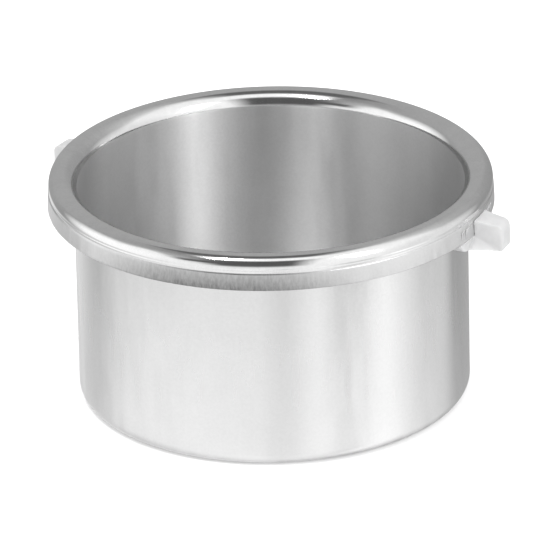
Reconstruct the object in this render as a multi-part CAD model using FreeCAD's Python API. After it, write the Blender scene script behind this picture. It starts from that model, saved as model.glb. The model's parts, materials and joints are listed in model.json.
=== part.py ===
"""Removable inner pot of a wax warmer.

A deep-drawn aluminium pot with a rolled rim and a turned-down skirt, and two moulded plastic grips that are
pushed up on to the skirt's lower edge.

Frame: millimetres, +Z up, origin at the centre of the pot's underside. The grips lie along X, and each one
sits a few degrees towards +Y.
"""
import FreeCAD, Part
import os
from math import cos, radians, sin

# ---- pot, driving dimensions ----
SHEET = 1.0                # wall of the drawn aluminium, the same all over
WALL_RADIUS = 55.3         # outside of the straight wall, which drops into the warmer's well
BASE_CORNER = 3.5          # outside radius between base and wall
CREST_HEIGHT = 66.05       # underside of the base to the crest of the rolled rim
ROLL_INNER_RADIUS = 4.8    # outside radius of the roll's half towards the inside of the pot
ROLL_OUTER_RADIUS = 3.3    # outside radius of the roll's tighter outer half
ROLL_BAND = 1.1            # upright band between the roll's outer half and the step
STEP_OUT = 0.12            # the skirt's top stands this much proud of the band
STEP_DROP = 0.45           # height of the step between band and skirt
SKIRT_LENGTH = 4.65        # from the step down to the skirt's lower edge
SKIRT_FLARE = 0.25         # the skirt's lower edge is this much wider than its top

# ---- grips, driving dimensions ----
GRIP_LEAN = 4.4            # degrees from the X axis towards +Y
SLOT_GAP = 0.03            # clearance on each face of the skirt in the grip's slot
SHELF_DEPTH = 3.05         # the grip hangs this far below the skirt's lower edge
LEG_WIDTH = 23.6           # inner leg, along the rim
LEG_THICKNESS = 2.2        # inner leg, in the gap behind the skirt
LEG_RISE = 3.95            # inner leg, above the skirt's lower edge
LEG_LOW_CORNER = 3.4       # outline radius at the shelf's lower corners
LEG_TOP_CORNER = 1.6       # outline radius at the leg's upper corners
TAB_REACH = 8.0            # the tab stands this far out from the skirt
TAB_RISE = 4.45            # top of the tab above the skirt's lower edge, at the skirt
TAB_DROOP = 0.9            # the top falls this much from the skirt to its rounded end
TAB_SAG = 1.2              # the underside falls this much from the skirt to the tip
TAB_ROOT_WIDTH = 8.2       # tab across, at the skirt
TAB_TIP_WIDTH = 6.3        # tab across, at its tip
TAB_NOSE_RADIUS = 2.6      # upper edge of the tip
TAB_HEEL_RADIUS = 0.9      # lower edge of the tip
TAB_PLAN_RADIUS = 1.2      # upright corners of the tip
WEB_ROOT_WIDTH = 16.0      # flared web under the tab, across, at the skirt
WEB_ROOT_HEIGHT = 2.7      # flared web, at the skirt
WEB_TIP_HEIGHT = 0.5       # flared web, where it dies out near the tip

# ---- worked out from them ----
CREST_RADIUS = WALL_RADIUS - SHEET + ROLL_INNER_RADIUS
BAND_RADIUS = CREST_RADIUS + ROLL_OUTER_RADIUS
STEP_TOP = CREST_HEIGHT - ROLL_OUTER_RADIUS - ROLL_BAND
SKIRT_TOP = STEP_TOP - STEP_DROP
SKIRT_EDGE = SKIRT_TOP - SKIRT_LENGTH
SKIRT_TOP_OUTSIDE = BAND_RADIUS + STEP_OUT
SKIRT_OUTSIDE = SKIRT_TOP_OUTSIDE + SKIRT_FLARE      # at its lower edge, as is the inside below
SKIRT_INSIDE = SKIRT_OUTSIDE - SHEET
SHELF_BOTTOM = SKIRT_EDGE - SHELF_DEPTH
LEG_BACK = SKIRT_INSIDE - SLOT_GAP - LEG_THICKNESS
TAB_TIP = SKIRT_OUTSIDE + TAB_REACH

STEEPEST_TURN = 45.0       # an arc that turns further is made of equal shorter ones, for light faces
UP = FreeCAD.Vector(0, 0, 1)
ORIGIN = FreeCAD.Vector(0, 0, 0)


def at(x, z):
    """A point of an upright profile in the XZ plane."""
    return FreeCAD.Vector(x, 0, z)


def line(start, end):
    return Part.LineSegment(start, end).toShape()


def bend(centre, radius, start_angle, end_angle):
    """Edges round a centre in the XZ plane, between two angles in degrees, counted from +X towards +Z."""
    def on_circle(angle):
        turn = radians(angle)
        return centre + at(radius * cos(turn), radius * sin(turn))

    count = max(1, round(abs(end_angle - start_angle) / STEEPEST_TURN))
    step = (end_angle - start_angle) / count
    starts = [start_angle + step * index for index in range(count)]
    arcs = [Part.Arc(on_circle(low), on_circle(low + step / 2), on_circle(low + step)) for low in starts]
    return [each.toShape() for each in arcs]


def joined(edges):
    """Closed wire through the edges in order, with straight lines across any gaps between them."""
    chain = []
    for edge, following in zip(edges, edges[1:] + edges[:1]):
        chain.append(edge)
        end = edge.lastVertex(True).Point
        start = following.firstVertex(True).Point
        if end.distanceToPoint(start) > 1e-6:
            chain.append(line(end, start))
    return Part.Wire(chain)


def pot_body():
    """The drawn sheet as one closed section, turned about Z."""
    corner = at(WALL_RADIUS - BASE_CORNER, BASE_CORNER)
    inner_roll = at(CREST_RADIUS, CREST_HEIGHT - ROLL_INNER_RADIUS)
    outer_roll = at(CREST_RADIUS, CREST_HEIGHT - ROLL_OUTER_RADIUS)
    underside = [
        line(at(0, 0), at(corner.x, 0)),
        *bend(corner, BASE_CORNER, -90, 0),
        *bend(inner_roll, ROLL_INNER_RADIUS - SHEET, 180, 90),
        *bend(outer_roll, ROLL_OUTER_RADIUS - SHEET, 90, 0),
        line(at(BAND_RADIUS - SHEET, STEP_TOP), at(SKIRT_TOP_OUTSIDE - SHEET, SKIRT_TOP)),
    ]
    upper_side = [
        line(at(SKIRT_INSIDE, SKIRT_EDGE), at(SKIRT_OUTSIDE, SKIRT_EDGE)),
        line(at(SKIRT_TOP_OUTSIDE, SKIRT_TOP), at(BAND_RADIUS, STEP_TOP)),
        *bend(outer_roll, ROLL_OUTER_RADIUS, 0, 90),
        *bend(inner_roll, ROLL_INNER_RADIUS, 90, 180),
        *bend(corner, BASE_CORNER - SHEET, 0, -90),
        line(at(corner.x, SHEET), at(0, SHEET)),
    ]
    section = Part.Face(joined(underside + upper_side))
    return section.revolve(ORIGIN, UP, 360)


def ring(inside, outside, bottom, top):
    """Upright tube about Z."""
    height = top - bottom
    foot = FreeCAD.Vector(0, 0, bottom)
    return Part.makeCylinder(outside, height, foot).cut(Part.makeCylinder(inside, height, foot))


def shelf_and_leg():
    """Plate that follows the rim: the shelf under the skirt and the leg behind it, before the slot."""
    half = LEG_WIDTH / 2
    top = SKIRT_EDGE + LEG_RISE
    low = LEG_LOW_CORNER
    high = LEG_TOP_CORNER
    outline = joined([
        *bend(at(half - low, SHELF_BOTTOM + low), low, -90, 0),
        *bend(at(half - high, top - high), high, 0, 90),
        *bend(at(high - half, top - high), high, 90, 180),
        *bend(at(low - half, SHELF_BOTTOM + low), low, 180, 270),
    ])
    outline.rotate(ORIGIN, UP, 90)
    plate = Part.Face(outline).extrude(FreeCAD.Vector(TAB_TIP, 0, 0))
    band = ring(LEG_BACK, SKIRT_OUTSIDE, SHELF_BOTTOM, top)
    return plate.common(band)


def tab():
    """The part that the fingers hold: a drooping block with a round nose, narrower towards its tip."""
    top = SKIRT_EDGE + TAB_RISE
    nose = at(TAB_TIP - TAB_NOSE_RADIUS, top - TAB_DROOP - TAB_NOSE_RADIUS)
    heel = at(TAB_TIP - TAB_HEEL_RADIUS, SHELF_BOTTOM - TAB_SAG + TAB_HEEL_RADIUS)
    side = joined([
        line(at(SKIRT_INSIDE, SHELF_BOTTOM), at(SKIRT_OUTSIDE, SHELF_BOTTOM)),
        *bend(heel, TAB_HEEL_RADIUS, -90, 0),
        *bend(nose, TAB_NOSE_RADIUS, 0, 90),
        line(at(SKIRT_OUTSIDE, top), at(SKIRT_INSIDE, top)),
    ])
    side.translate(FreeCAD.Vector(0, -TAB_ROOT_WIDTH, 0))
    block = Part.Face(side).extrude(FreeCAD.Vector(0, 2 * TAB_ROOT_WIDTH, 0))
    root = TAB_ROOT_WIDTH / 2
    tip = TAB_TIP_WIDTH / 2
    corners = [
        FreeCAD.Vector(SKIRT_INSIDE, -root, 0),
        FreeCAD.Vector(SKIRT_OUTSIDE, -root, 0),
        FreeCAD.Vector(TAB_TIP, -tip, 0),
        FreeCAD.Vector(TAB_TIP, tip, 0),
        FreeCAD.Vector(SKIRT_OUTSIDE, root, 0),
        FreeCAD.Vector(SKIRT_INSIDE, root, 0),
    ]
    plan = Part.Face(Part.makePolygon(corners + corners[:1])).extrude(FreeCAD.Vector(0, 0, CREST_HEIGHT))
    at_tip = [edge for edge in plan.Edges if edge.BoundBox.XMin > SKIRT_OUTSIDE]
    upright = [edge for edge in at_tip if edge.BoundBox.ZLength > TAB_REACH]
    return block.common(plan.makeFillet(TAB_PLAN_RADIUS, upright))


def web():
    """Flared web under the tab: wide at the skirt, and dying out into the tab's sides at the tip."""
    def section(x, bottom, bottom_width, top_width, height):
        corners = [
            FreeCAD.Vector(x, -bottom_width / 2, bottom),
            FreeCAD.Vector(x, bottom_width / 2, bottom),
            FreeCAD.Vector(x, top_width / 2, bottom + height),
            FreeCAD.Vector(x, -top_width / 2, bottom + height),
        ]
        return Part.makePolygon(corners + corners[:1])

    hidden = section(SKIRT_INSIDE, SHELF_BOTTOM, WEB_ROOT_WIDTH, TAB_ROOT_WIDTH, WEB_ROOT_HEIGHT)
    root = section(SKIRT_OUTSIDE, SHELF_BOTTOM, WEB_ROOT_WIDTH, TAB_ROOT_WIDTH, WEB_ROOT_HEIGHT)
    end = TAB_TIP - TAB_HEEL_RADIUS
    tip = section(end, SHELF_BOTTOM - TAB_SAG, TAB_TIP_WIDTH, TAB_TIP_WIDTH, WEB_TIP_HEIGHT)
    return Part.makeLoft([hidden, root, tip], True, True)


def skirt_slot():
    """The skirt's own cone with the slot's clearance on both faces, carried on up to the crest."""
    height = CREST_HEIGHT - SKIRT_EDGE
    narrowing = SKIRT_FLARE * height / SKIRT_LENGTH
    foot = FreeCAD.Vector(0, 0, SKIRT_EDGE)
    outside = SKIRT_OUTSIDE + SLOT_GAP
    inside = SKIRT_INSIDE - SLOT_GAP
    outer = Part.makeCone(outside, outside - narrowing, height, foot)
    return outer.cut(Part.makeCone(inside, inside - narrowing, height, foot))


def grip(bearing):
    """One moulding, turned to its bearing about Z (degrees from +X)."""
    whole = shelf_and_leg().fuse([tab(), web()])
    behind_leg = Part.makeCylinder(LEG_BACK, CREST_HEIGHT)
    moulding = whole.cut([skirt_slot(), behind_leg]).removeSplitter().Solids[0]
    moulding.rotate(ORIGIN, UP, bearing)
    return moulding


def main():
    nodes = {
        "pot_body": pot_body(),
        "grip_right": grip(GRIP_LEAN),
        "grip_left": grip(180 - GRIP_LEAN),
    }
    os.makedirs("parts", exist_ok=True)
    for name, shape in nodes.items():
        print(name, shape.isValid(), len(shape.Solids), round(shape.Volume, 1), "mm3", shape.BoundBox)
        shape.exportStep(f"parts/{name}.step")


main()
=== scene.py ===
"""Wax warmer pot: the looks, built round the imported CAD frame. Metres, the part's own frame."""
import json
from math import atan2, cos, degrees, pi, radians, sin, tau
import bmesh
import bpy
from mathutils import Matrix, Vector, noise


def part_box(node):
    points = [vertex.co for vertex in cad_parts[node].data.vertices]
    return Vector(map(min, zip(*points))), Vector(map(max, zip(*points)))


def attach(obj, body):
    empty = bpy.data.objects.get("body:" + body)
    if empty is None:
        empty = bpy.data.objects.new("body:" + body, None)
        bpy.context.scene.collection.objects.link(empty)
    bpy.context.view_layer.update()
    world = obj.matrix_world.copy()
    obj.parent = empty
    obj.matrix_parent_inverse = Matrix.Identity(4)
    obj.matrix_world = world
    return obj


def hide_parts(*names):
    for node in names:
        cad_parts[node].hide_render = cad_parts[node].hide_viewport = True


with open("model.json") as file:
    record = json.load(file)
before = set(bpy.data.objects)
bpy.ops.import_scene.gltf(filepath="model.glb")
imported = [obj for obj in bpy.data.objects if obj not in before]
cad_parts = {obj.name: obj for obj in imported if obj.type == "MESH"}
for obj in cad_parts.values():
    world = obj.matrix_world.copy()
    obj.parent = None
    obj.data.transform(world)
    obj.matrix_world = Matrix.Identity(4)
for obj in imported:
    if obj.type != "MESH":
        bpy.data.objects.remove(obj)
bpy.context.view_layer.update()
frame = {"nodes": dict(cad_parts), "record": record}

MM = 0.001

# ---- sizes that come from the frame ----
MOUNTS = {mount["name"]: mount for mount in frame["record"]["mounts"]}
WALL_RADIUS = MOUNTS["well_wall"]["dims"]["r_mm"] * MM
SKIRT_EDGE = MOUNTS["rim_seat"]["pos_m"][2]
SKIRT_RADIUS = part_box("pot_body")[1][0]
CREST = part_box("pot_body")[1][2]
GRIPS = ("grip_right", "grip_left")

# ---- sizes of the drawn sheet ----
SHEET = 1.0 * MM
BASE_CORNER = 3.5 * MM
SKIRT_FLARE = 0.25 * MM      # the skirt's lower edge is this much wider than its top
SKIRT_LIP = 0.25 * MM        # rounding of the skirt's lower edge, inside and outside
STEP_OUT = 0.12 * MM         # the skirt's top stands proud of the band above it
STEP_DROP = 0.45 * MM        # height of that step
SHOULDER_IN = 0.03 * MM      # the step's upper edge is eased by this much
SHOULDER_RISE = 0.1 * MM
GROOVE_DEPTH = 0.14 * MM     # fine groove between step and band
GROOVE_HALF = 0.12 * MM      # half of its height
ROLL_BAND = 1.1 * MM         # upright band between the roll and the step
CREASE_DEPTH = 0.05 * MM     # crease between band and roll
CREASE_TOP = 0.3 * MM        # below the centre of the roll's outer half
CREASE_BOTTOM = 0.45 * MM
ROLL_INNER = 4.8 * MM        # outside radius of the roll's half towards the inside of the pot
BAND_RADIUS = SKIRT_RADIUS - SKIRT_FLARE - STEP_OUT
CREST_RADIUS = WALL_RADIUS - SHEET + ROLL_INNER
ROLL_OUTER = BAND_RADIUS - CREST_RADIUS
STEP_TOP = CREST - ROLL_OUTER - ROLL_BAND
SKIRT_TOP = STEP_TOP - STEP_DROP
LINING_START = 165           # degrees from outwards over the crest, where the lining's finish begins
SEGMENTS = 720               # round the pot

# ---- how far the sheet is from true ----
DENT_DEPTH = 0.05 * MM       # slow waves all over
WRINKLE_DEPTH = 0.22 * MM    # press wrinkles along the skirt's edge
PLEATS = ((26.0, 1.0), (61.0, 0.7), (140.0, 0.35))   # how often round the pot, and how strong
GRIP_CLEAR = 13.0            # degrees on each side of a grip where the sheet stays true
GRIP_FADE = 8.0              # degrees over which the dents come in
GRIP_CELL = 0.2 * MM         # the moulded grips are remeshed in cells of this size, then smoothed

# ---- the side where the skirt's painted shade is darkest ----
PAINTED_SHADE_AZIMUTH = radians(-77.0)
PAINTED_SHADE_SIDE = Vector((cos(PAINTED_SHADE_AZIMUTH), sin(PAINTED_SHADE_AZIMUTH), 0.0))

# ---- camera ----
CAMERA_AZIMUTH = radians(-62.7)   # where the camera stands, counted from +X
CAMERA_ELEVATION = radians(24.07)
CAMERA_DISTANCE = 2.0
CAMERA_LENS = 480.0
CAMERA_SENSOR = 36.0
CAMERA_ROLL = radians(1.27)
AIM = Vector((0.0, 0.0, 40 * MM))
AIM_RIGHT = -1.59 * MM
AIM_UP = -3.73 * MM
TO_CAMERA = Vector((cos(CAMERA_AZIMUTH), sin(CAMERA_AZIMUTH), 0.0))
TO_RIGHT = Vector((-TO_CAMERA.y, TO_CAMERA.x, 0.0))
UP = Vector((0.0, 0.0, 1.0))

# ---- studio, as the metal sees it ----
# (degrees, grey) by lean: 0 is overhead, 90 is level in front of the pot, -90 is level behind it
PANEL = [
    (-114, 0.90), (-106, 0.36), (-66, 0.38), (-29, 0.37), (-22, 0.11), (0, 0.12), (8, 1.00), (26, 1.00),
    (34, 0.10), (42, 0.085), (74, 0.085), (83, 0.30), (91, 0.80), (114, 0.95),
]
PANEL_LEFT = [
    (-114, 0.90), (-106, 0.36), (-66, 0.38), (-29, 0.37), (-10, 0.28), (5, 0.21), (34, 0.15), (50, 0.10),
    (74, 0.085), (83, 0.30), (91, 0.80), (114, 0.95),
]
PANEL_FAR_LEFT = [
    (-114, 0.34), (-106, 0.33), (-66, 0.38), (-29, 0.37), (0, 0.34), (15, 0.40), (32, 0.42), (42, 0.38),
    (49, 0.11), (62, 0.11), (69, 0.75), (91, 0.95), (114, 0.95),
]
SIDE_LEFT = [
    (-114, 0.34), (-106, 0.30), (-66, 0.34), (-40, 0.36), (-10, 0.36), (6, 0.50), (20, 0.95), (84, 0.99),
    (94, 0.97), (114, 0.95),
]
SIDE_RIGHT = [
    (-114, 0.34), (-106, 0.30), (-66, 0.34), (-40, 0.42), (-22, 0.55), (-4, 0.93), (25, 0.99), (84, 0.99),
    (94, 0.97), (114, 0.95),
]
# (degrees, grey) by turn: 0 is in front of the pot, 90 is to its right, for directions well below level
GROUND = [
    (-150, 0.80), (-125, 0.54), (-95, 0.74), (-45, 0.93), (-8, 0.96), (6, 0.74), (26, 1.06), (40, 0.70),
    (52, 0.72), (68, 1.22), (80, 1.05), (100, 0.66), (124, 0.76), (130, 0.38), (165, 0.45),
]
LEFT_POLE = 1.1              # grey straight to the left and to the right
RIGHT_POLE = 0.80
# where one zone runs into the next: side is -1 straight to the left and 1 straight to the right
SIDE_LEFT_EDGE = (-0.78, -0.66)
FAR_LEFT_EDGE = (-0.62, -0.42)
LEFT_EDGE = (-0.42, -0.31)
SIDE_RIGHT_EDGE = (0.16, 0.36)
POLE_EDGE = (0.80, 0.97)     # on both sides
GROUND_EDGE = (0.28, 0.40)   # how steeply down: 0 is level and 1 is straight down
DEEP_GREY = 0.20             # what light sees that has crossed the inside of the pot
EVEN_LIGHT = 1.4             # strength of the white light on everything that isn't a mirror

# name, turn and elevation in degrees, width and height in metres, radiance
SOFTBOXES = [
    ("softbox_right", 48.0, 35.0, 0.24, 0.60, 5.6),
    ("softbox_left", -42.0, 67.0, 0.12, 0.30, 32.0),
]
SOFTBOX_DISTANCE = 1.2


# ---------------------------------------------------------------- node helpers
class Nodes:
    """Short spelling for building a node tree."""

    def __init__(self, tree):
        self.tree = tree
        tree.nodes.clear()

    def add(self, kind, inputs=None, **settings):
        node = self.tree.nodes.new(kind)
        for name, value in settings.items():
            setattr(node, name, value)
        for socket, value in (inputs or {}).items():
            self.feed(node.inputs[socket], value)
        return node

    def feed(self, socket, value):
        if isinstance(value, bpy.types.NodeSocket):
            self.tree.links.new(value, socket)
        else:
            socket.default_value = value

    def math(self, operation, first, second=0.0, clamp=False):
        inputs = {0: first, 1: second}
        return self.add("ShaderNodeMath", inputs, operation=operation, use_clamp=clamp).outputs[0]

    def vector_math(self, operation, first, second=None, output="Vector"):
        inputs = {0: first} if second is None else {0: first, 1: second}
        return self.add("ShaderNodeVectorMath", inputs, operation=operation).outputs[output]

    def noise(self, vector, scale, detail=4.0, rough=0.5):
        inputs = {"Vector": vector, "Scale": scale, "Detail": detail, "Roughness": rough}
        return self.add("ShaderNodeTexNoise", inputs).outputs["Fac"]

    def ramp(self, value, stops):
        node = self.add("ShaderNodeValToRGB", {"Fac": value})
        elements = node.color_ramp.elements
        while len(elements) < len(stops):
            elements.new(0.5)
        for element, (position, grey) in zip(elements, stops):
            element.position = position
            element.color = (grey, grey, grey, 1.0)
        return node.outputs["Color"]

    def spread(self, value, low, high, from_low=0.0, from_high=1.0):
        inputs = {"Value": value, "From Min": from_low, "From Max": from_high, "To Min": low, "To Max": high}
        return self.add("ShaderNodeMapRange", inputs).outputs["Result"]

    def blend(self, share, first, second):
        return self.add("ShaderNodeMix", {0: share, 6: first, 7: second}, data_type="RGBA").outputs[2]

    def bump(self, height, distance, normal=None):
        inputs = {"Height": height, "Distance": distance}
        if normal is not None:
            inputs["Normal"] = normal
        return self.add("ShaderNodeBump", inputs).outputs[0]

    def object_place(self):
        return self.add("ShaderNodeTexCoord").outputs["Object"]


def new_material(name):
    material = bpy.data.materials.new(name)
    material.use_nodes = True
    return material, Nodes(material.node_tree)


def around(nodes, along):
    """Object coordinates wrapped on the unit circle, so that a pattern runs round the pot with no seam."""
    parts = nodes.add("ShaderNodeSeparateXYZ", {0: nodes.object_place()})
    flat = nodes.add("ShaderNodeCombineXYZ", {0: parts.outputs[0], 1: parts.outputs[1]})
    unit = nodes.vector_math("NORMALIZE", flat.outputs[0])
    unit_parts = nodes.add("ShaderNodeSeparateXYZ", {0: unit})
    height = nodes.math("MULTIPLY", parts.outputs[2], along)
    wrapped = {0: unit_parts.outputs[0], 1: unit_parts.outputs[1], 2: height}
    return nodes.add("ShaderNodeCombineXYZ", wrapped).outputs[0]


def by_height(nodes, low, high, bottom=0.0, top=CREST):
    """A value that goes from low at one height to high at another."""
    height = nodes.add("ShaderNodeSeparateXYZ", {0: nodes.object_place()}).outputs[2]
    return nodes.spread(height, low, high, bottom, top)


# ---------------------------------------------------------------- materials
def metal(name, colour, rough, streak_depth, grain_depth, anisotropy=0.0, painted_shade=None, rougher=None,
          patchy=0.15):
    """Drawn aluminium: streaks up the wall in roughness and bump, a fine grain, faint colour blotches, and
    painted shade where one is given.
    """
    material, nodes = new_material(name)
    place = nodes.object_place()
    streaks = nodes.noise(around(nodes, along=3.0), 16.0, detail=2.0)
    grain = nodes.noise(place, 1300.0, detail=2.0)
    blotch = nodes.noise(place, 110.0, detail=4.0)
    roughness = nodes.spread(streaks, rough * (1.0 - patchy), rough * (1.0 + patchy), 0.3, 0.7)
    if rougher:
        roughness = nodes.math("MULTIPLY", roughness, rougher(nodes))
    tint = nodes.spread(blotch, colour * 0.98, colour, 0.35, 0.65)
    tint = nodes.math("MULTIPLY", tint, nodes.spread(streaks, 0.975, 1.0, 0.35, 0.65))
    tint = nodes.math("MULTIPLY", tint, nodes.spread(grain, 0.97, 1.0, 0.35, 0.65))
    # painted shade or painted reflection multiplied into the colour
    if painted_shade:
        tint = nodes.math("MULTIPLY", tint, painted_shade(nodes))
    shade = nodes.add("ShaderNodeCombineColor", {0: tint, 1: tint, 2: tint}).outputs[0]
    normal = nodes.bump(grain, grain_depth, nodes.bump(streaks, streak_depth))
    tangent = nodes.add("ShaderNodeTangent", direction_type="RADIAL", axis="Z").outputs[0]
    shader = nodes.add("ShaderNodeBsdfPrincipled", {
        "Base Color": shade, "Metallic": 1.0, "Roughness": roughness, "Normal": normal,
        "Anisotropic": anisotropy, "Anisotropic Rotation": 0.25, "Tangent": tangent,
    })
    nodes.add("ShaderNodeOutputMaterial", {"Surface": shader.outputs[0]})
    return material


# Painted reflection: the wall's colour goes darker towards the top, standing in for the bright floor it
# mirrors near its foot.
def wall_painted_shade(nodes):
    return by_height(nodes, 1.0, 0.82)


def wall_roughness(nodes):
    return by_height(nodes, 1.5, 0.75)


# Painted shade: the lining's colour goes darker towards the top, standing in for the light that brightens
# towards the pot's floor.
def lining_painted_shade(nodes):
    return by_height(nodes, 1.0, 0.90)


def roll_roughness(nodes):
    """The roll's polish runs out into the satin lining."""
    return by_height(nodes, 2.6, 1.0, CREST - ROLL_INNER, CREST - 0.7 * ROLL_INNER)


def skirt_painted_shade(nodes):
    """Painted shade in the skirt's colour, standing in for its dark reflection: darker towards the pressed
    lower edge, most of all on one side, with short strokes up the sheet.
    """
    edge = by_height(nodes, 1.06, 0.62, SKIRT_EDGE, SKIRT_TOP)
    flat = nodes.vector_math("MULTIPLY", nodes.object_place(), (1.0, 1.0, 0.0))
    turned = nodes.vector_math("DOT_PRODUCT", nodes.vector_math("NORMALIZE", flat), PAINTED_SHADE_SIDE, "Value")
    # painted shade is strongest on the side given above
    patch = nodes.spread(turned, 0.12, 0.66, 0.80, 0.985)
    marks = nodes.noise(around(nodes, along=5.0), 95.0, detail=3.0, rough=0.75)
    strokes = nodes.spread(marks, 0.86, 1.12, 0.35, 0.65)
    amount = nodes.math("MULTIPLY", nodes.math("MULTIPLY", edge, patch), strokes)
    return nodes.math("SUBTRACT", 1.0, amount, clamp=True)


def pot_metals():
    """The pot's finishes in the order of its slots: base, wall, bright roll, duller skirt, satin lining;
    wall, skirt and lining have painted shade in their colour.
    """
    return [
        metal("pot_base", 0.84, 0.38, 0.010 * MM, 0.010 * MM),
        metal("pot_wall", 1.0, 0.24, 0.003 * MM, 0.0004 * MM, anisotropy=0.7, painted_shade=wall_painted_shade,
              rougher=wall_roughness),
        metal("pot_roll", 0.94, 0.11, 0.001 * MM, 0.0010 * MM, rougher=roll_roughness, patchy=0.03),
        metal("pot_skirt", 0.94, 0.35, 0.004 * MM, 0.010 * MM, painted_shade=skirt_painted_shade),
        metal("pot_lining", 0.97, 0.50, 0.002 * MM, 0.020 * MM, anisotropy=0.95, painted_shade=lining_painted_shade),
    ]


def grip_plastic():
    """Translucent white moulding with a soft gloss and faint flow marks."""
    material, nodes = new_material("grip_plastic")
    place = nodes.object_place()
    flow = nodes.noise(place, 260.0, detail=3.0)
    pebble = nodes.noise(place, 1800.0, detail=2.0)
    tint = nodes.spread(flow, 0.53, 0.60, 0.3, 0.7)
    blue = nodes.math("MULTIPLY", tint, 1.005)
    shade = nodes.add("ShaderNodeCombineColor", {0: tint, 1: tint, 2: blue}).outputs[0]
    shader = nodes.add("ShaderNodeBsdfPrincipled", {
        "Base Color": shade, "Roughness": nodes.spread(flow, 0.28, 0.42, 0.3, 0.7),
        "Normal": nodes.bump(pebble, 0.02 * MM),
        "Subsurface Weight": 0.25, "Subsurface Radius": (1.0, 1.0, 0.95), "Subsurface Scale": 2.0 * MM,
        "IOR": 1.46, "Transmission Weight": 0.15,
    })
    nodes.add("ShaderNodeOutputMaterial", {"Surface": shader.outputs[0]})
    return material


def floor_paper():
    """Plain pale paper with a faint tooth."""
    material, nodes = new_material("floor_paper")
    tooth = nodes.noise(nodes.object_place(), 900.0, detail=3.0)
    shader = nodes.add("ShaderNodeBsdfPrincipled", {
        "Base Color": (0.95, 0.95, 0.95, 1.0), "Roughness": 0.9, "Specular IOR Level": 0.1,
        "Normal": nodes.bump(tooth, 0.02 * MM),
    })
    nodes.add("ShaderNodeOutputMaterial", {"Surface": shader.outputs[0]})
    return material


# ---------------------------------------------------------------- pot
def arc_points(centre_r, centre_z, radius, start, end, count):
    """Points round a centre in the (r, z) half plane, angles in degrees from outwards towards up."""
    points = []
    for index in range(count + 1):
        angle = radians(start + (end - start) * index / count)
        points.append((centre_r + radius * cos(angle), centre_z + radius * sin(angle)))
    return points


def run(start, end, count):
    """Points of a straight run, without its ends."""
    steps = [index / (count + 1) for index in range(1, count + 1)]
    return [(start[0] + (end[0] - start[0]) * s, start[1] + (end[1] - start[1]) * s) for s in steps]


BASE, WALL, ROLL, SKIRT, LINING = range(5)   # material slots of the pot


def pot_profile():
    """(r, z, slot of the band that starts there), from the middle of the underside to the middle inside."""
    corner_r = WALL_RADIUS - BASE_CORNER
    lining_r = WALL_RADIUS - SHEET
    inner_z = CREST - ROLL_INNER
    outer_z = CREST - ROLL_OUTER
    skirt_top_r = SKIRT_RADIUS - SKIRT_FLARE
    bands = []

    def band(points, slot):
        bands.extend((r, z, slot) for r, z in points)

    # underside, wall, and the hidden side of the roll
    band([(0.0, 0.0)] + run((0.0, 0.0), (corner_r, 0.0), 5), BASE)
    band(arc_points(corner_r, BASE_CORNER, BASE_CORNER, -90, 0, 10), WALL)
    band(run((WALL_RADIUS, BASE_CORNER), (WALL_RADIUS, inner_z), 12), WALL)
    band(arc_points(CREST_RADIUS, inner_z, ROLL_INNER - SHEET, 180, 90, 12), WALL)
    band(arc_points(CREST_RADIUS, outer_z, ROLL_OUTER - SHEET, 90, 0, 12)[1:], WALL)
    # inside of the skirt, its lower edge, and its outside
    lip_z = SKIRT_EDGE + SKIRT_LIP
    band([(BAND_RADIUS - SHEET, STEP_TOP), (skirt_top_r - SHEET, SKIRT_TOP)], SKIRT)
    band(run((skirt_top_r - SHEET, SKIRT_TOP), (SKIRT_RADIUS - SHEET, lip_z), 8), SKIRT)
    band(arc_points(SKIRT_RADIUS - SHEET + SKIRT_LIP, lip_z, SKIRT_LIP, 180, 270, 3), SKIRT)
    band(arc_points(SKIRT_RADIUS - SKIRT_LIP, lip_z, SKIRT_LIP, -90, 0, 3), SKIRT)
    band(run((SKIRT_RADIUS, lip_z), (skirt_top_r, SKIRT_TOP), 14), SKIRT)
    band([(skirt_top_r, SKIRT_TOP), (skirt_top_r - SHOULDER_IN, SKIRT_TOP + SHOULDER_RISE)], SKIRT)
    # groove, band, crease and roll
    band([(BAND_RADIUS - GROOVE_DEPTH, STEP_TOP - GROOVE_HALF), (BAND_RADIUS, STEP_TOP + GROOVE_HALF)], ROLL)
    band([(BAND_RADIUS, outer_z - CREASE_BOTTOM), (BAND_RADIUS - CREASE_DEPTH, outer_z - CREASE_TOP)], ROLL)
    band(arc_points(CREST_RADIUS, outer_z, ROLL_OUTER, 0, 90, 30), ROLL)
    band(arc_points(CREST_RADIUS, inner_z, ROLL_INNER, 90, LINING_START, 25)[1:], ROLL)
    # inside of the pot
    band(arc_points(CREST_RADIUS, inner_z, ROLL_INNER, LINING_START, 180, 5)[1:], LINING)
    band(run((lining_r, inner_z), (lining_r, BASE_CORNER), 16), LINING)
    band(arc_points(corner_r, BASE_CORNER, BASE_CORNER - SHEET, 0, -90, 8), LINING)
    band(run((corner_r, SHEET), (0.0, SHEET), 8) + [(0.0, SHEET)], LINING)
    return bands


def clear_of_grips(angle):
    """0 behind and beside a grip, where the skirt stays true, and 1 away from them."""
    nearest = pi
    for name in GRIPS:
        low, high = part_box(name)
        bearing = atan2(low.y + high.y, low.x + high.x)
        nearest = min(nearest, abs((angle - bearing + pi) % tau - pi))
    share = min(1.0, max(0.0, (degrees(nearest) - GRIP_CLEAR) / GRIP_FADE))
    return share * share * (3.0 - 2.0 * share)


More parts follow.
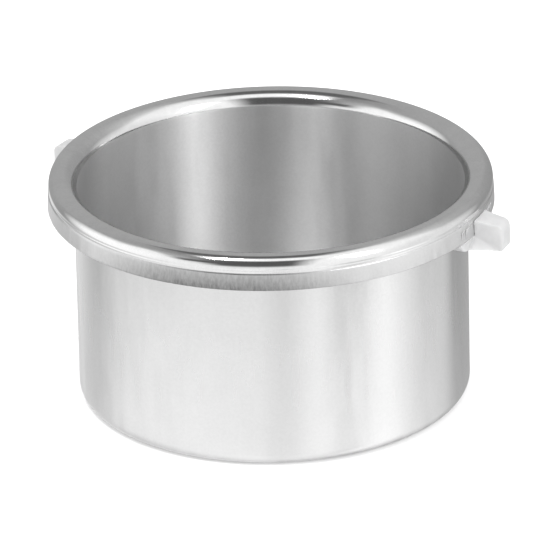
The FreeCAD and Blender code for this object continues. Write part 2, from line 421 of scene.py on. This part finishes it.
def dent(angle, r, z):
    """How far the sheet is pushed inwards: slow waves all over, press wrinkles along the skirt's edge."""
    ring = Vector((cos(angle), sin(angle), 0.0))
    height = Vector((0.0, 0.0, z / (60 * MM)))
    depth = DENT_DEPTH * (0.5 + 0.5 * noise.noise(ring * 3.1 + height * 0.8))
    if r > CREST_RADIUS and z < STEP_TOP:
        near_edge = 1.0 - min(1.0, max(0.0, (z - SKIRT_EDGE) / (SKIRT_TOP - SKIRT_EDGE)))
        patch = min(1.0, max(0.0, noise.noise(ring * 2.3 + Vector((7.0, 0.0, 0.0))) + 0.45))
        pleats = sum(strength * noise.noise(ring * often) for often, strength in PLEATS)
        depth += WRINKLE_DEPTH * near_edge * patch * (0.45 + 0.55 * pleats)
    return depth


def ring_of_points(mesh, r, z, free):
    """One ring of the lathed pot, or the single point on its axis."""
    if r == 0.0:
        return [mesh.verts.new((0.0, 0.0, z))]
    points = []
    for index in range(SEGMENTS):
        angle = tau * index / SEGMENTS
        radius = r - (dent(angle, r, z) * free[index] if z > BASE_CORNER else 0.0)
        points.append(mesh.verts.new((radius * cos(angle), radius * sin(angle), z)))
    return points


def join_rings(mesh, first, second, slot):
    for index in range(SEGMENTS):
        following = (index + 1) % SEGMENTS
        if len(first) == 1:
            corners = [first[0], second[following], second[index]]
        elif len(second) == 1:
            corners = [first[index], first[following], second[0]]
        else:
            corners = [first[index], first[following], second[following], second[index]]
        face = mesh.faces.new(corners)
        face.material_index = slot
        face.smooth = True


def pot():
    """The drawn pot as one closed lathed mesh."""
    profile = pot_profile()
    free = [clear_of_grips(tau * index / SEGMENTS) for index in range(SEGMENTS)]
    mesh = bmesh.new()
    rings = [ring_of_points(mesh, r, z, free) for r, z, slot in profile]
    for first, second, (r, z, slot) in zip(rings, rings[1:], profile):
        join_rings(mesh, first, second, slot)
    bmesh.ops.recalc_face_normals(mesh, faces=mesh.faces)
    data = bpy.data.meshes.new("pot")
    mesh.to_mesh(data)
    mesh.free()
    for finish in pot_metals():
        data.materials.append(finish)
    piece = bpy.data.objects.new("pot", data)
    bpy.context.scene.collection.objects.link(piece)
    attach(piece, "root")
    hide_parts("pot_body")


# ---------------------------------------------------------------- grips
def grips():
    """Copies of the CAD grips with the soft edges of a moulding."""
    plastic = grip_plastic()
    for name in GRIPS:
        data = frame["nodes"][name].data.copy()
        data.materials.clear()
        data.materials.append(plastic)
        piece = bpy.data.objects.new(name + "_moulded", data)
        bpy.context.scene.collection.objects.link(piece)
        cells = piece.modifiers.new("cells", "REMESH")
        cells.mode = "VOXEL"
        cells.voxel_size = GRIP_CELL
        cells.use_smooth_shade = True
        soft = piece.modifiers.new("soft", "SMOOTH")
        soft.factor = 0.5
        soft.iterations = 8
        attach(piece, "root")
        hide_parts(name)


# ---------------------------------------------------------------- stage, light and camera
def floor():
    """A wide plain floor just under the pot, which the metal doesn't mirror."""
    mesh = bmesh.new()
    bmesh.ops.create_grid(mesh, x_segments=8, y_segments=8, size=8.0)
    data = bpy.data.meshes.new("floor")
    mesh.to_mesh(data)
    mesh.free()
    data.materials.append(floor_paper())
    piece = bpy.data.objects.new("floor", data)
    piece.location.z = -0.05 * MM
    piece.visible_glossy = False
    bpy.context.scene.collection.objects.link(piece)


def mirrored_studio(nodes):
    """What the metal sees: grey behind, bright sides, a dark panel over the front with a bright strip."""
    direction = nodes.add("ShaderNodeTexCoord").outputs["Generated"]

    def along(axis):
        return nodes.vector_math("DOT_PRODUCT", direction, axis, "Value")

    def by_degrees(angle, stops):
        share = nodes.spread(angle, 0.0, 1.0, -pi, pi)
        return nodes.ramp(share, [((at + 180.0) / 360.0, grey) for at, grey in stops])

    front = along(TO_CAMERA)
    side = along(TO_RIGHT)
    lean = nodes.math("ARCTAN2", front, along(UP))
    turn = nodes.math("ARCTAN2", side, front)

    far_left = nodes.spread(side, 1.0, 0.0, *FAR_LEFT_EDGE)
    zones = nodes.blend(far_left, by_degrees(lean, PANEL_LEFT), by_degrees(lean, PANEL_FAR_LEFT))
    left_part = nodes.spread(side, 1.0, 0.0, *LEFT_EDGE)
    zones = nodes.blend(left_part, by_degrees(lean, PANEL), zones)
    right_of_side = nodes.spread(side, 0.0, 1.0, *SIDE_LEFT_EDGE)
    zones = nodes.blend(right_of_side, by_degrees(lean, SIDE_LEFT), zones)
    left_of_side = nodes.spread(side, 1.0, 0.0, *SIDE_RIGHT_EDGE)
    zones = nodes.blend(left_of_side, by_degrees(lean, SIDE_RIGHT), zones)
    pole = nodes.spread(side, LEFT_POLE, RIGHT_POLE, -1.0, 1.0)
    near_pole = nodes.spread(nodes.math("ABSOLUTE", side), 0.0, 1.0, *POLE_EDGE)
    zones = nodes.blend(near_pole, zones, pole)
    below = nodes.spread(along(-UP), 0.0, 1.0, *GROUND_EDGE)
    return nodes.blend(below, zones, by_degrees(turn, GROUND))


def surroundings():
    """An even white studio, with its own picture of panels for the metal to mirror."""
    world = bpy.data.worlds.new("studio")
    bpy.context.scene.world = world
    world.use_nodes = True
    nodes = Nodes(world.node_tree)
    path = nodes.add("ShaderNodeLightPath")
    deep = nodes.math("GREATER_THAN", path.outputs["Glossy Depth"], 1.5)
    shade = nodes.blend(deep, mirrored_studio(nodes), (DEEP_GREY, DEEP_GREY, DEEP_GREY, 1.0))
    seen = nodes.add("ShaderNodeBackground", {"Color": shade, "Strength": 1.0})
    even = nodes.add("ShaderNodeBackground", {"Color": (1.0, 1.0, 1.0, 1.0), "Strength": EVEN_LIGHT})
    inputs = {0: path.outputs["Is Glossy Ray"], 1: even.outputs[0], 2: seen.outputs[0]}
    nodes.add("ShaderNodeOutputWorld", {"Surface": nodes.add("ShaderNodeMixShader", inputs).outputs[0]})


def softbox(name, turn, elevation, width, height, radiance):
    """A softbox aimed at the pot; turn is counted from the camera to its right."""
    light = bpy.data.lights.new(name, "AREA")
    light.shape = "RECTANGLE"
    light.size = width
    light.size_y = height
    light.energy = radiance * pi * width * height
    lamp = bpy.data.objects.new(name, light)
    level = TO_CAMERA * cos(radians(turn)) + TO_RIGHT * sin(radians(turn))
    towards = level * cos(radians(elevation)) + UP * sin(radians(elevation))
    lamp.location = AIM + towards * SOFTBOX_DISTANCE
    lamp.rotation_euler = towards.to_track_quat("Z", "Y").to_euler()
    lamp.visible_camera = False
    bpy.context.scene.collection.objects.link(lamp)


def camera():
    data = bpy.data.cameras.new("camera")
    data.sensor_width = CAMERA_SENSOR
    data.lens = CAMERA_LENS
    data.clip_end = 100.0
    back = TO_CAMERA * cos(CAMERA_ELEVATION) + UP * sin(CAMERA_ELEVATION)
    level_right = UP.cross(back).normalized()
    level_up = back.cross(level_right)
    right = level_right * cos(CAMERA_ROLL) - level_up * sin(CAMERA_ROLL)
    up = level_right * sin(CAMERA_ROLL) + level_up * cos(CAMERA_ROLL)
    aim = AIM + right * AIM_RIGHT + up * AIM_UP
    eye = bpy.data.objects.new("camera", data)
    turned = Matrix((right, up, back)).transposed().to_4x4()
    eye.matrix_world = Matrix.Translation(aim + back * CAMERA_DISTANCE) @ turned
    bpy.context.scene.collection.objects.link(eye)
    bpy.context.scene.camera = eye


def light_settings():
    """Long paths, since light goes many times between the pot's walls, with their sparks clamped."""
    scene = bpy.context.scene
    scene.view_settings.view_transform = "Standard"
    scene.cycles.max_bounces = 16
    scene.cycles.glossy_bounces = 14
    scene.cycles.sample_clamp_indirect = 3.0


pot()
grips()
floor()
surroundings()
for one in SOFTBOXES:
    softbox(*one)
camera()
light_settings()
